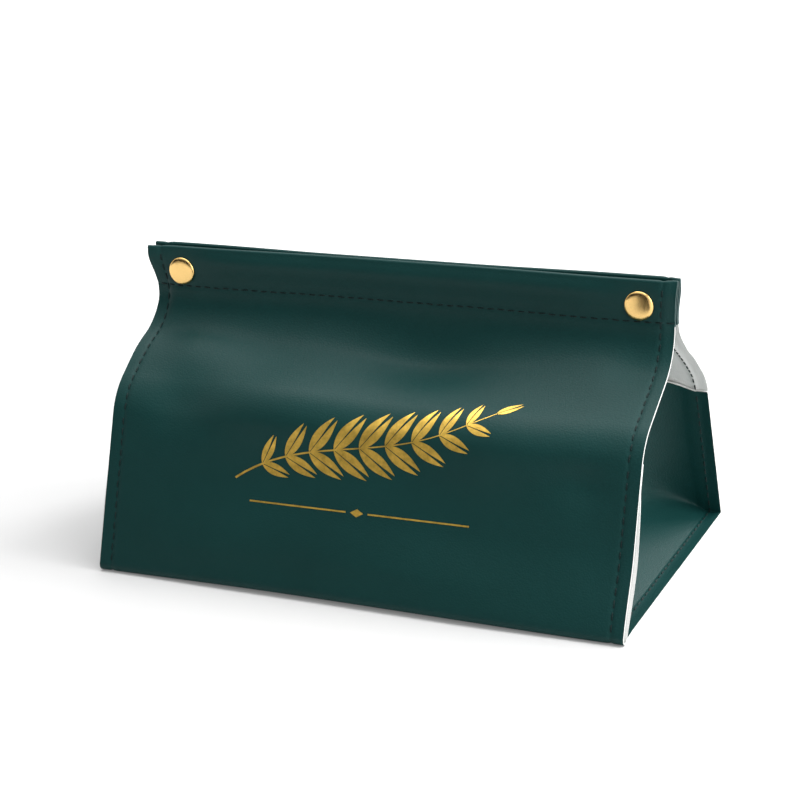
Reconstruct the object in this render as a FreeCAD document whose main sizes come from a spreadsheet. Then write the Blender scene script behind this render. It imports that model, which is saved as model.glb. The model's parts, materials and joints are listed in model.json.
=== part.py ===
import FreeCAD, Part
import math
import os

import Sketcher

V = FreeCAD.Vector

# A sewn tissue box cover: one long sheet makes the front, the bottom and the back, two tucked gussets
# close the ends, and two snaps hold the top hems together. X runs along the cover, -Y is its front,
# and the origin lies in the middle of the bottom. Lengths are in millimetres, angles in degrees.

DIMENSIONS = [
    ("length", 240, "over the raw edges of the end seams"),
    ("base_depth", 144, "front to back on the floor, to the corners before they are rounded"),
    ("height", 130, "floor to the top of the hems"),
    ("wall_angle", 19.4, "lean of the lower walls from the vertical, in degrees"),
    ("base_radius", 4, "outside radius of the folds along the bottom"),
    ("fold_ratio", 0.5077, "height of the line where each flap bends, over the whole height"),
    ("shoulder_ratio", 0.562, "outside radius above the bend line, over the rise from there to the hem"),
    ("neck_ratio", 0.494, "radius of the hollow below the hem, over the same rise"),
    ("skin", 0.35, "green coating"),
    ("backing", 0.7, "white cloth under the coating"),
    ("hem_turn", 19.5, "depth of the turned hem"),
    ("hem_stitch", 1.6, "hem stitch line above the raw edge of the turned hem"),
    ("slot", 4.2, "tissue slot between the two hems"),
    ("seam", 5.5, "raw edge to the stitch line of the end seams"),
    ("thread_width", 0.6, "sewing thread, across"),
    ("thread_rise", 0.3, "sewing thread, above the skin"),
    ("inner_stitch", 1.2, "stitches on the gusset's lip, outside the stitch line"),
    ("stitch_gap", 0.8, "bare stretch of the end seam below the bend line"),
    ("gusset_tuck", 34, "how far the gusset is tucked in at its top"),
    ("gusset_peak_ratio", 0.28, "height where the gusset's two creases meet, over that of its top"),
    ("gusset_drop", 1.2, "top of the gusset below the bend line"),
    ("web_slant_ratio", 1.4, "web's thickness along X over its own, because it leans"),
    ("snap_from_end", 14.5, "snap centre from the end"),
    ("snap_from_top", 11, "snap centre below the top of the hem"),
    ("cap_radius", 6.25, "standard snap cap"),
    ("cap_rise", 1.6, "cap above the hem"),
    ("cap_edge", 0.8, "depth of the cap's sloping edge"),
    ("post_radius", 1.0, "rivet post of a cap"),
    ("flare_radius", 1.3, "spread end of a post"),
    ("flare", 0.35, "thickness of the spread end"),
    ("post_bore", 0.5, "radius of the hollow in a post's end"),
    ("post_clearance", 0.05, "post to hole, all round"),
    ("base_plate", 0.55, "metal clamped by a spread post"),
    ("socket_radius", 5.0, "snap socket"),
    ("cavity_radius", 2.35, "mouth of the socket"),
    ("lip", 0.25, "metal above the ring's groove"),
    ("groove_radius", 2.95, "groove that lets the ring spread"),
    ("ring_radius", 2.15, "split ring, to the middle of its wire"),
    ("wire", 0.6, "diameter of the ring's wire"),
    ("wire_clearance", 0.05, "ring to groove, each side"),
    ("ring_angle", 330, "turn of the split ring, in degrees"),
    ("stud_radius", 4.7, "snap stud's disc"),
    ("stud_disc", 0.9, "thickness of the disc"),
    ("neck", 1.75, "radius of the stud's neck"),
    ("head", 2.1, "radius of the stud's head"),
    ("head_edge", 0.3, "chamfer of the head"),
    ("hollow_radius", 1.4, "hollow inside the stud"),
    ("head_wall", 0.8, "metal at the tip of the head"),
    ("snap_clearance", 0.3, "socket to stud disc when closed"),
    ("tip_clearance", 0.2, "stud tip to the spread post, and ring to head"),
]

# How far the gusset hugs the walls: share of its tuck, and share of the half width where it turns across
HUGGING_TUCK = 0.6
HUGGING_SPREAD = 0.92

doc = FreeCAD.newDocument("tissue_box_cover")
sheet = doc.addObject("Spreadsheet::Sheet", "Sizes")
for row, (alias, number, note) in enumerate(DIMENSIONS, start=1):
    sheet.set(f"A{row}", note)
    sheet.set(f"B{row}", str(number))
    sheet.setAlias(f"B{row}", alias)
doc.recompute()

# Sizes that follow from the driving dimensions, as expressions
LEAN = "(Sizes.wall_angle * 1 deg)"
HALF_LENGTH = "(Sizes.length / 2)"
SHEET = "(Sizes.skin + Sizes.backing)"
FOLD_Z = "(Sizes.height * Sizes.fold_ratio)"
FOLD_Y = f"(Sizes.base_depth / 2 - {FOLD_Z} * tan({LEAN}))"
HEM_Y = f"(Sizes.slot / 2 + 2 * {SHEET})"
HEM_Z = "(Sizes.height - Sizes.hem_turn)"
SHOULDER = f"(({HEM_Z} - {FOLD_Z}) * Sizes.shoulder_ratio)"
NECK = f"(({HEM_Z} - {FOLD_Z}) * Sizes.neck_ratio)"
STITCH_X = f"({HALF_LENGTH} - Sizes.seam)"
SNAP_X = f"({HALF_LENGTH} - Sizes.snap_from_end)"
SNAP_Z = "(Sizes.height - Sizes.snap_from_top)"
HOLE = "(Sizes.post_radius + Sizes.post_clearance)"
SOCKET_RISE = "(Sizes.slot - Sizes.stud_disc - Sizes.snap_clearance)"
GROOVE_TOP = f"({SOCKET_RISE} - Sizes.lip)"
GROOVE_FLOOR = f"({GROOVE_TOP} - Sizes.wire - 2 * Sizes.wire_clearance)"
RING_LEVEL = f"(({GROOVE_TOP} + {GROOVE_FLOOR}) / 2)"
HEAD_START = f"(Sizes.slot - {GROOVE_FLOOR} + Sizes.wire_clearance)"
HEAD_TIP = "(Sizes.slot - Sizes.base_plate - Sizes.flare - Sizes.tip_clearance)"
POST_LEDGE = f"(Sizes.cap_rise + 2 * {SHEET} + Sizes.base_plate)"
POST_TIP = f"({POST_LEDGE} + Sizes.flare)"
GUSSET_TOP = f"({FOLD_Z} - Sizes.gusset_drop)"


def value(expression):
    """The number that an expression of the sheet's sizes gives now."""
    result = sheet.evalExpression(expression)
    return float(getattr(result, "Value", result))


def bind(thing, bindings):
    """Tie properties or constraints of an object to expressions."""
    for path, expression in bindings.items():
        thing.setExpression(path, expression)


def fix(sketch, kind, *where, to):
    """Add a dimension to a sketch and tie it to an expression."""
    index = sketch.addConstraint(Sketcher.Constraint(kind, *where, value(to)))
    sketch.setExpression(f"Constraints[{index}]", to)


def place_point(sketch, geometry, end, across, up):
    """Hold a point of a sketch at a place measured from the sketch's origin."""
    for kind, axis, expression in (("DistanceX", -2, across), ("DistanceY", -1, up)):
        if abs(value(expression)) < 1e-9:
            sketch.addConstraint(Sketcher.Constraint("PointOnObject", geometry, end, axis))
        else:
            fix(sketch, kind, -1, 1, geometry, end, to=expression)


def arc(centre, radius, start, end):
    """A circular arc, counter-clockwise, its angles in radians."""
    return Part.ArcOfCircle(Part.Circle(centre, V(0, 0, 1), radius), start, end)


def tangent(sketch, first, first_end, second, second_end):
    sketch.addConstraint(Sketcher.Constraint("Tangent", first, first_end, second, second_end))


def cross_section(name):
    """A sketch whose axes are the cover's Y and Z."""
    sketch = doc.addObject("Sketcher::SketchObject", name)
    sketch.Placement = FreeCAD.Placement(V(), FreeCAD.Rotation(V(1, 1, 1), 120))
    return sketch


# Outer line of the bottom and of the two lower walls, up to the bend lines

def base_line():
    sketch = cross_section("base_line")
    lean = math.radians(value("Sizes.wall_angle"))
    radius = value("Sizes.base_radius")
    top = V(value(FOLD_Y), value(FOLD_Z), 0)
    centre = V(value("Sizes.base_depth") / 2 - radius * (1 + math.sin(lean)) / math.cos(lean), radius, 0)
    wall_start = centre + V(math.cos(lean), math.sin(lean), 0) * radius
    floor_end = V(centre.x, 0, 0)

    def mirror(point):
        return V(-point.x, point.y, 0)

    sketch.addGeometry(Part.LineSegment(mirror(top), mirror(wall_start)))
    sketch.addGeometry(arc(mirror(centre), radius, math.pi - lean, 1.5 * math.pi))
    sketch.addGeometry(Part.LineSegment(mirror(floor_end), floor_end))
    sketch.addGeometry(arc(centre, radius, 1.5 * math.pi, 2 * math.pi + lean))
    sketch.addGeometry(Part.LineSegment(wall_start, top))
    for piece in range(4):
        tangent(sketch, piece, 2, piece + 1, 1)
    sketch.addConstraint(Sketcher.Constraint("PointOnObject", 2, 1, -1))
    sketch.addConstraint(Sketcher.Constraint("Symmetric", 2, 1, 2, 2, -2))
    sketch.addConstraint(Sketcher.Constraint("Symmetric", 0, 1, 4, 2, -2))
    sketch.addConstraint(Sketcher.Constraint("Equal", 1, 3))
    fix(sketch, "Radius", 3, to="Sizes.base_radius * 1 mm")
    fix(sketch, "Angle", 4, to=f"90 deg + {LEAN}")
    place_point(sketch, 4, 2, FOLD_Y, FOLD_Z)
    return sketch


# Outer line of the back flap: shoulder, slope and neck, then its hem, then the hem's turned part

CURVE = 3
WITH_HEM = 4
WITH_TURN = 6


def flap_line(name, pieces):
    sketch = cross_section(name)
    lean = math.radians(value("Sizes.wall_angle"))
    shoulder = value(SHOULDER)
    neck = value(NECK)
    start = V(value(FOLD_Y), value(FOLD_Z), 0)
    hem = V(value(HEM_Y), value(HEM_Z), 0)
    first = start - V(math.cos(lean), math.sin(lean), 0) * shoulder
    second = hem + V(neck, 0, 0)
    apart = second - first
    slope = math.atan2(apart.y, apart.x) - math.acos((shoulder + neck) / apart.Length)
    outward = V(math.cos(slope), math.sin(slope), 0)
    sketch.addGeometry(arc(first, shoulder, lean, slope))
    sketch.addGeometry(Part.LineSegment(first + outward * shoulder, second - outward * neck))
    sketch.addGeometry(arc(second, neck, math.pi, math.pi + slope))
    tangent(sketch, 0, 2, 1, 1)
    tangent(sketch, 1, 2, 2, 2)
    place_point(sketch, 0, 1, FOLD_Y, FOLD_Z)
    place_point(sketch, 0, 3, f"{FOLD_Y} - {SHOULDER} * cos({LEAN})", f"{FOLD_Z} - {SHOULDER} * sin({LEAN})")
    place_point(sketch, 2, 1, HEM_Y, HEM_Z)
    place_point(sketch, 2, 3, f"{HEM_Y} + {NECK}", HEM_Z)
    if pieces >= WITH_HEM:
        turn = value(SHEET)
        turn_z = value("Sizes.height") - turn
        sketch.addGeometry(Part.LineSegment(hem, V(hem.x, turn_z, 0)))
        tangent(sketch, 2, 1, 3, 1)
        fix(sketch, "DistanceY", -1, 1, 3, 2, to=f"Sizes.height - {SHEET}")
    if pieces >= WITH_TURN:
        inner = hem.x - 2 * turn
        sketch.addGeometry(arc(V(hem.x - turn, turn_z, 0), turn, 0, math.pi))
        sketch.addGeometry(Part.LineSegment(V(inner, turn_z, 0), V(inner, hem.y, 0)))
        tangent(sketch, 3, 2, 4, 1)
        tangent(sketch, 4, 2, 5, 1)
        fix(sketch, "Radius", 4, to=f"{SHEET} * 1 mm")
        sketch.addConstraint(Sketcher.Constraint("Vertical", 5))
        fix(sketch, "DistanceY", -1, 1, 5, 2, to=HEM_Z)
    return sketch


# Sheet layers, made as offsets of an outer line and run along X

def offset(name, line, distance, filled):
    layer = doc.addObject("Part::Offset2D", name)
    layer.Source = line
    layer.Mode = "Skin"
    layer.Join = "Arc"
    layer.Fill = filled
    layer.Value = value(distance)
    layer.setExpression("Value", distance)
    return layer


def run_along(name, face, start, end):
    """A solid from a cross-section, between two places along X."""
    solid = doc.addObject("Part::Extrusion", name)
    solid.Base = face
    solid.DirMode = "Custom"
    solid.Dir = V(1, 0, 0)
    solid.Solid = True
    bind(solid, {"LengthFwd": end, "LengthRev": f"-{start}"})
    return solid


def combine(kind, name, pieces):
    result = doc.addObject(kind, name)
    if kind == "Part::Cut":
        result.Base, result.Tool = pieces
    elif kind == "Part::Compound":
        result.Links = pieces
    else:
        result.Shapes = pieces
    return result


def mirrored(name, source, normal):
    copy = doc.addObject("Part::Mirroring", name)
    copy.Source = source
    copy.Normal = normal
    return copy


def block(name, size, corner):
    box = doc.addObject("Part::Box", name)
    bind(box, dict(zip(("Length", "Width", "Height"), size)))
    bind(box, dict(zip(("Placement.Base.x", "Placement.Base.y", "Placement.Base.z"), corner)))
    return box


def bar_along_y(name, radius, start, length, x, z):
    """A cylinder on an axis along Y."""
    bar = doc.addObject("Part::Cylinder", name)
    bar.Placement = FreeCAD.Placement(V(), FreeCAD.Rotation(V(1, 0, 0), -90))
    bind(bar, {"Radius": radius, "Height": length})
    bind(bar, {"Placement.Base.x": x, "Placement.Base.y": start, "Placement.Base.z": z})
    return bar


nodes = {}


def node(name, thing):
    """Make a finished object a sub-part under its own name."""
    thing.Label = name
    nodes[name] = thing
    return thing


FULL = (f"-{HALF_LENGTH}", HALF_LENGTH)
SIDES = (("left", "-"), ("right", ""))


# Wrapped sheet: bottom and lower walls

base = base_line()
base_inside = offset("base_inside", base, "-Sizes.skin", False)
base_lining = offset("base_lining", base, f"-{SHEET}", False)
node("wrap_skin", run_along("wrap_skin", offset("wrap_skin_face", base, "-Sizes.skin", True), *FULL))
node("wrap_backing", run_along("wrap_backing",
                               offset("wrap_backing_face", base_inside, "-Sizes.backing", True), *FULL))

# Flaps: the back one is drawn, and the front one is its mirror image

flap_full = flap_line("flap_full", WITH_TURN)
flap_hem = flap_line("flap_hem", WITH_HEM)
flap_curve = flap_line("flap_curve", CURVE)
flap_inside = offset("flap_inside", flap_hem, "-Sizes.skin", False)
post_holes = combine("Part::Compound", "post_holes", [
    bar_along_y(f"{side}_post_hole", HOLE, "0", f"2 * {HEM_Y}", f"{sign}{SNAP_X}", SNAP_Z)
    for side, sign in SIDES])

flap_skin = run_along("flap_skin", offset("flap_skin_face", flap_full, "-Sizes.skin", True), *FULL)
flap_strip = run_along("flap_strip", offset("flap_strip_face", flap_inside, "-Sizes.backing", True), *FULL)
hem_filling = block("hem_filling",
                    ("Sizes.length", "2 * Sizes.backing", f"Sizes.hem_turn - {SHEET}"),
                    (f"-{HALF_LENGTH}", "Sizes.slot / 2 + Sizes.skin", HEM_Z))
hem_round = doc.addObject("Part::Cylinder", "hem_round")
hem_round.Placement = FreeCAD.Placement(V(), FreeCAD.Rotation(V(0, 1, 0), 90))
bind(hem_round, {"Radius": "Sizes.backing", "Height": "Sizes.length",
                 "Placement.Base.x": f"-{HALF_LENGTH}",
                 "Placement.Base.y": f"Sizes.slot / 2 + {SHEET}",
                 "Placement.Base.z": f"Sizes.height - {SHEET}"})
flap_backing = combine("Part::MultiFuse", "flap_backing", [flap_strip, hem_filling, hem_round])
for layer, solid in (("skin", flap_skin), ("backing", flap_backing)):
    back = node(f"back_flap_{layer}", combine("Part::Cut", f"back_{layer}", [solid, post_holes]))
    node(f"front_flap_{layer}", mirrored(f"front_{layer}", back, V(0, 1, 0)))

# Threads of the flaps: one along the hem, and one up each side edge

hem_thread = block("hem_thread", ("Sizes.length", "Sizes.thread_rise", "Sizes.thread_width"),
                   (f"-{HALF_LENGTH}", HEM_Y, f"{HEM_Z} + Sizes.hem_stitch - Sizes.thread_width / 2"))
node("back_hem_thread", hem_thread)
node("front_hem_thread", mirrored("front_hem", hem_thread, V(0, 1, 0)))
edge_face = offset("edge_thread_face", flap_curve, "Sizes.thread_rise", True)
edge_thread = run_along("edge_thread", edge_face, f"({STITCH_X} - Sizes.thread_width / 2)",
                        f"({STITCH_X} + Sizes.thread_width / 2)")
node("back_right_edge_thread", edge_thread)
node("back_left_edge_thread", mirrored("back_left_edge", edge_thread, V(1, 0, 0)))
front_edge = node("front_right_edge_thread", mirrored("front_right_edge", edge_thread, V(0, 1, 0)))
node("front_left_edge_thread", mirrored("front_left_edge", front_edge, V(1, 0, 0)))


# Gussets: a lip against the walls and the bottom, and a web that is folded in between them

def web_layer(name, start, thickness):
    """One layer of the folded web: flat facets between the lip, the two diagonal creases and the top."""
    lean = math.radians(value("Sizes.wall_angle"))
    floor = 2 * value(SHEET)
    fold = value("Sizes.base_radius")
    fold_y = value("Sizes.base_depth") / 2 - fold * (1 + math.sin(lean)) / math.cos(lean)
    top = value(GUSSET_TOP)
    peak = top * value("Sizes.gusset_peak_ratio")
    knee = floor + HUGGING_TUCK * (peak - floor)
    tuck = value("Sizes.gusset_tuck")
    near = value(f"{STITCH_X} - {start}")

    def wall(height):
        return value("Sizes.base_depth") / 2 - floor / math.cos(lean) - height * math.tan(lean)

    half = {
        "floor": (0, fold_y, floor),
        "corner": (0, fold_y + (fold - floor) * math.cos(lean), fold + (fold - floor) * math.sin(lean)),
        "rim": (0, wall(top), top),
        "side": (HUGGING_TUCK * tuck, HUGGING_SPREAD * wall(top), top),
        "knee": (HUGGING_TUCK * tuck, HUGGING_SPREAD * wall(knee), knee),
        "middle": (tuck, 0, top),
        "peak": (tuck, 0, peak),
    }
    facets = [("floor", "corner", "knee"), ("floor", "knee", "peak"), ("corner", "rim", "side"),
              ("corner", "side", "knee"), ("knee", "side", "middle"), ("knee", "middle", "peak")]
    edge = ["floor", "corner", "rim", "side", "middle"]

    def point(corner, side, depth):
        tucked, across, up = half[corner]
        return V(near - tucked - depth, side * across, up)

    def facet(points):
        return Part.Face(Part.makePolygon(points + points[:1]))

    faces = []
    depth = value(thickness)
    for at in (0, depth):
        faces.append(facet([point("floor", 1, at), point("floor", -1, at), point("peak", 1, at)]))
        for side in (1, -1):
            faces += [facet([point(corner, side, at) for corner in corners]) for corners in facets]
    for side in (1, -1):
        for here, there in zip(edge, edge[1:]):
            faces.append(facet([point(here, side, 0), point(there, side, 0),
                                point(there, side, depth), point(here, side, depth)]))
    faces.append(facet([point("floor", 1, 0), point("floor", -1, 0),
                        point("floor", -1, depth), point("floor", 1, depth)]))
    solid = Part.Solid(Part.Shell(faces))
    if solid.Volume < 0:
        solid.reverse()
    layer = doc.addObject("Part::Feature", name)
    layer.Shape = solid
    return layer


SKIN_SLANT = "(Sizes.skin * Sizes.web_slant_ratio)"
WEB_SLANT = f"({SHEET} * Sizes.web_slant_ratio)"
gusset_inside = offset("gusset_inside", base, f"-({SHEET} + Sizes.backing)", False)
gusset_face = offset("gusset_face", base, f"-2 * {SHEET}", False)
lip_backing_face = offset("lip_backing_face", base_lining, "-Sizes.backing", True)
lip_skin_face = offset("lip_skin_face", gusset_inside, "-Sizes.skin", True)
gusset_skin = combine("Part::MultiFuse", "gusset_skin", [
    run_along("lip_skin", lip_skin_face, f"({STITCH_X} - {SKIN_SLANT})", HALF_LENGTH),
    web_layer("web_skin", "0", SKIN_SLANT)])
gusset_backing = combine("Part::MultiFuse", "gusset_backing", [
    run_along("lip_backing", lip_backing_face, f"({STITCH_X} - {WEB_SLANT})", HALF_LENGTH),
    run_along("lip_bend", lip_skin_face, f"({STITCH_X} - {WEB_SLANT})", f"({STITCH_X} - {SKIN_SLANT})"),
    web_layer("web_backing", SKIN_SLANT, f"{WEB_SLANT} - {SKIN_SLANT}")])

# End seam threads: up the outside of both walls, and round the inside of the lip

wall_thread = block("wall_thread",
                    ("Sizes.thread_width", "Sizes.thread_rise",
                     f"({FOLD_Z} - 2 * Sizes.base_radius) / cos({LEAN}) - Sizes.stitch_gap"),
                    (f"{STITCH_X} - Sizes.thread_width / 2",
                     f"Sizes.base_depth / 2 - 2 * Sizes.base_radius * tan({LEAN})",
                     "2 * Sizes.base_radius"))
wall_thread.Placement.Rotation = FreeCAD.Rotation(V(1, 0, 0), value("Sizes.wall_angle"))
bind(wall_thread, {"Placement.Rotation.Angle": LEAN})
lip_stitch = f"({STITCH_X} + Sizes.inner_stitch)"
lip_thread = run_along("lip_thread", offset("lip_thread_face", gusset_face, "-Sizes.thread_rise", True),
                       f"({lip_stitch} - Sizes.thread_width / 2)",
                       f"({lip_stitch} + Sizes.thread_width / 2)")
seam_thread = combine("Part::Compound", "seam_thread",
                      [wall_thread, mirrored("front_wall_thread", wall_thread, V(0, 1, 0)), lip_thread])

for part, solid in (("skin", gusset_skin), ("backing", gusset_backing), ("thread", seam_thread)):
    node(f"right_gusset_{part}", solid)
    node(f"left_gusset_{part}", mirrored(f"left_{part}", solid, V(1, 0, 0)))


# Snaps: turned pieces, each drawn as radius and distance along its axis

def turned_body(name, draw, turn):
    body = doc.addObject("PartDesign::Body", name)
    sketch = body.newObject("Sketcher::SketchObject", f"{name}_outline")
    plane = next(f for f in body.Origin.OriginFeatures if f.Role == "XY_Plane")
    sketch.AttachmentSupport = [(plane, "")]
    sketch.MapMode = "FlatFace"
    draw(sketch)
    turning = body.newObject("PartDesign::Revolution", f"{name}_turning")
    turning.Profile = sketch
    turning.ReferenceAxis = (sketch, ["V_Axis"])
    turning.setExpression("Angle", turn)
    body.Tip = turning
    return body


def closed_outline(corners):
    """A way to draw a closed outline through corners given as expressions."""
    def draw(sketch):
        points = [V(value(radius), value(along), 0) for radius, along in corners]
        count = len(points)
        for index in range(count):
            sketch.addGeometry(Part.LineSegment(points[index], points[(index + 1) % count]))
        for index in range(count):
            sketch.addConstraint(Sketcher.Constraint("Coincident", index, 2, (index + 1) % count, 1))
        for index, (radius, along) in enumerate(corners):
            place_point(sketch, index, 1, radius, along)
    return draw


def wire_outline(sketch):
    centre = V(value("Sizes.ring_radius"), value(RING_LEVEL), 0)
    sketch.addGeometry(Part.Circle(centre, V(0, 0, 1), value("Sizes.wire") / 2))
    place_point(sketch, 0, 3, "Sizes.ring_radius", RING_LEVEL)
    fix(sketch, "Diameter", 0, to="Sizes.wire * 1 mm")


CAP = [
    ("0", "0"),
    ("Sizes.cap_radius - Sizes.cap_edge", "0"),
    ("Sizes.cap_radius", "Sizes.cap_edge"),
    ("Sizes.cap_radius", "Sizes.cap_rise"),
    ("Sizes.post_radius", "Sizes.cap_rise"),
    ("Sizes.post_radius", POST_LEDGE),
    ("Sizes.flare_radius", POST_LEDGE),
    ("Sizes.flare_radius", POST_TIP),
    ("Sizes.post_bore", POST_TIP),
    ("Sizes.post_bore", f"{POST_LEDGE} - Sizes.flare"),
    ("0", f"{POST_LEDGE} - Sizes.flare"),
]
SOCKET = [
    (HOLE, "0"),
    ("Sizes.socket_radius", "0"),
    ("Sizes.socket_radius", SOCKET_RISE),
    ("Sizes.cavity_radius", SOCKET_RISE),
    ("Sizes.cavity_radius", GROOVE_TOP),
    ("Sizes.groove_radius", GROOVE_TOP),
    ("Sizes.groove_radius", GROOVE_FLOOR),
    ("Sizes.cavity_radius", GROOVE_FLOOR),
    ("Sizes.cavity_radius", "Sizes.base_plate"),
    (HOLE, "Sizes.base_plate"),
]
STUD = [
    (HOLE, "0"),
    ("Sizes.stud_radius", "0"),
    ("Sizes.stud_radius", "Sizes.stud_disc"),
    ("Sizes.neck", "Sizes.stud_disc"),
    ("Sizes.neck", HEAD_START),
    ("Sizes.head", HEAD_START),
    ("Sizes.head", f"{HEAD_TIP} - Sizes.head_edge"),
    ("Sizes.head - Sizes.head_edge", HEAD_TIP),
    ("0", HEAD_TIP),
    ("0", f"{HEAD_TIP} - Sizes.head_wall"),
    ("Sizes.hollow_radius", f"{HEAD_TIP} - Sizes.head_wall"),
    ("Sizes.hollow_radius", "Sizes.base_plate"),
    (HOLE, "Sizes.base_plate"),
]
CAP_FACE = f"({HEM_Y} + Sizes.cap_rise)"
FULL_TURN = "360 deg"
SNAP_PIECES = [
    ("front_cap", closed_outline(CAP), FULL_TURN, f"-{CAP_FACE}", False),
    ("snap_socket", closed_outline(SOCKET), FULL_TURN, "-Sizes.slot / 2", False),
    ("socket_ring", wire_outline, "Sizes.ring_angle * 1 deg", "-Sizes.slot / 2", False),
    ("snap_stud", closed_outline(STUD), FULL_TURN, "Sizes.slot / 2", True),
    ("back_cap", closed_outline(CAP), FULL_TURN, CAP_FACE, True),
]
for side, sign in SIDES:
    for piece, draw, turn, along, faces_front in SNAP_PIECES:
        body = node(f"{side}_{piece}", turned_body(f"{side}_{piece}", draw, turn))
        if faces_front:
            body.Placement.Rotation = FreeCAD.Rotation(V(0, 0, 1), 180)
        bind(body, {"Placement.Base.x": f"{sign}{SNAP_X}", "Placement.Base.y": along,
                    "Placement.Base.z": SNAP_Z})

# Check every object and write each sub-part

doc.recompute()
for thing in doc.Objects:
    if "Invalid" in thing.State or "Error" in thing.State:
        raise RuntimeError(f"{thing.Name} failed: {thing.State}")
for name, thing in nodes.items():
    if thing.Shape.isNull() or not thing.Shape.isValid() or not thing.Shape.Solids:
        raise RuntimeError(f"{name} has no valid solid")
os.makedirs("parts", exist_ok=True)
for name, thing in sorted(nodes.items()):
    thing.Shape.exportStep(f"parts/{name}.step")
    box = thing.Shape.BoundBox
    print(f"{name}: {len(thing.Shape.Solids)} solids, {thing.Shape.Volume:.1f} mm3, "
          f"x {box.XMin:.2f} {box.XMax:.2f}, y {box.YMin:.2f} {box.YMax:.2f}, z {box.ZMin:.2f} {box.ZMax:.2f}")
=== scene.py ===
"""Dresses a sewn leather tissue box cover: panels, folded ends, stitches, snaps and a foil sprig."""

import json
import math

import bpy
from mathutils import Matrix, Vector, noise


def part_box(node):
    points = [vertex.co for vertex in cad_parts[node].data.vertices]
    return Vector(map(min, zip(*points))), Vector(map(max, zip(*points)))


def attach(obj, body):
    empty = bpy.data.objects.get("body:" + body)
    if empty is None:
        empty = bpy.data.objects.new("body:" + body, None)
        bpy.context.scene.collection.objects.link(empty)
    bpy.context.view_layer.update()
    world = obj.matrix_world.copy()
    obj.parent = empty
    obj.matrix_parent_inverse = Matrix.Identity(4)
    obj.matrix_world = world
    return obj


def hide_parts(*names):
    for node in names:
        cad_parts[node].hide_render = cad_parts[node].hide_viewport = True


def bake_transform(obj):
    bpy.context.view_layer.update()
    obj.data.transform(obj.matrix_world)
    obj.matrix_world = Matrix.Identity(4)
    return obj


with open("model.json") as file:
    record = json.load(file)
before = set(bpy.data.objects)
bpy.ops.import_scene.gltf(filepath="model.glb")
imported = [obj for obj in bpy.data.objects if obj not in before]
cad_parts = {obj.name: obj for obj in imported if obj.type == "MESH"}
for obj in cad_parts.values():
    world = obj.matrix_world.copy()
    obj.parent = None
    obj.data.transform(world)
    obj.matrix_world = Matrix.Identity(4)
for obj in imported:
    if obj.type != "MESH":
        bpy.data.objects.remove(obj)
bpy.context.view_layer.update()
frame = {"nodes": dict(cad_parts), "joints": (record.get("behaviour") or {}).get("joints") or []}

bl_info = {
    "name": "Tissue box cover",
    "version": (1, 0, 0),
    "blender": (4, 5, 0),
    "location": "View3D > Sidebar > Tissue cover",
    "description": "Builds the panels, folded ends, stitches, snaps and foil of a sewn tissue box cover",
    "category": "Mesh",
}

MM = 0.001
FRONT = -1
BACK = 1
FACES = {FRONT: "front", BACK: "back"}
ENDS = {-1: "left", 1: "right"}


def middle(node):
    low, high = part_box(node)
    return (low + high) / 2


# Places that the frame gives: bend line, ends, top, hem and seam lines, and the right snap.
# The sewn seams end a little above the frame's gussets
BEND = Vector(next(joint["pos_m"] for joint in frame["joints"] if joint["child"] == "back_flap"))
END_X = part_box("wrap_skin")[1].x
TOP_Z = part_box("back_flap_skin")[1].z
HEM_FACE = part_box("back_hem_thread")[0].y
HEM_LINE = middle("back_hem_thread").z
SEAM_X = middle("back_right_edge_thread").x
SNAP = middle("right_back_cap")
SEAM_RISE = 2.2 * MM
SEAM_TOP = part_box("right_gusset_skin")[1].z + SEAM_RISE


class CoverSizes(bpy.types.PropertyGroup):
    """Sizes of the sheet, its bends, its stitches and its print."""

    wall_lean: bpy.props.FloatProperty(
        name="Wall lean", description="Lean of the lower walls from the vertical", default=math.radians(19.4),
        subtype="ANGLE", unit="ROTATION")
    bottom_fold: bpy.props.FloatProperty(
        name="Bottom fold", description="Outside radius of the folds along the bottom", default=2.8 * MM,
        subtype="DISTANCE", unit="LENGTH")
    shoulder: bpy.props.FloatProperty(
        name="Shoulder", description="Outside radius above the bend line", default=25 * MM,
        subtype="DISTANCE", unit="LENGTH")
    neck: bpy.props.FloatProperty(
        name="Neck", description="Radius of the hollow below the hem", default=22 * MM,
        subtype="DISTANCE", unit="LENGTH")
    hem_turn: bpy.props.FloatProperty(
        name="Hem turn", description="Depth of the turned hem", default=19.5 * MM,
        subtype="DISTANCE", unit="LENGTH")
    sheet: bpy.props.FloatProperty(
        name="Sheet", description="Thickness of the coated cloth", default=1.05 * MM,
        subtype="DISTANCE", unit="LENGTH")
    tuck: bpy.props.FloatProperty(
        name="Tuck", description="How far the folded ends go in", default=34 * MM,
        subtype="DISTANCE", unit="LENGTH")
    stitch: bpy.props.FloatProperty(
        name="Stitch", description="Length of one stitch with its gap", default=4.6 * MM,
        subtype="DISTANCE", unit="LENGTH")
    thread: bpy.props.FloatProperty(
        name="Thread", description="Width of the sewing thread", default=0.62 * MM,
        subtype="DISTANCE", unit="LENGTH")
    grain: bpy.props.FloatProperty(
        name="Grain", description="Size of the leather's pebbles", default=0.75 * MM,
        subtype="DISTANCE", unit="LENGTH")


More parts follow.
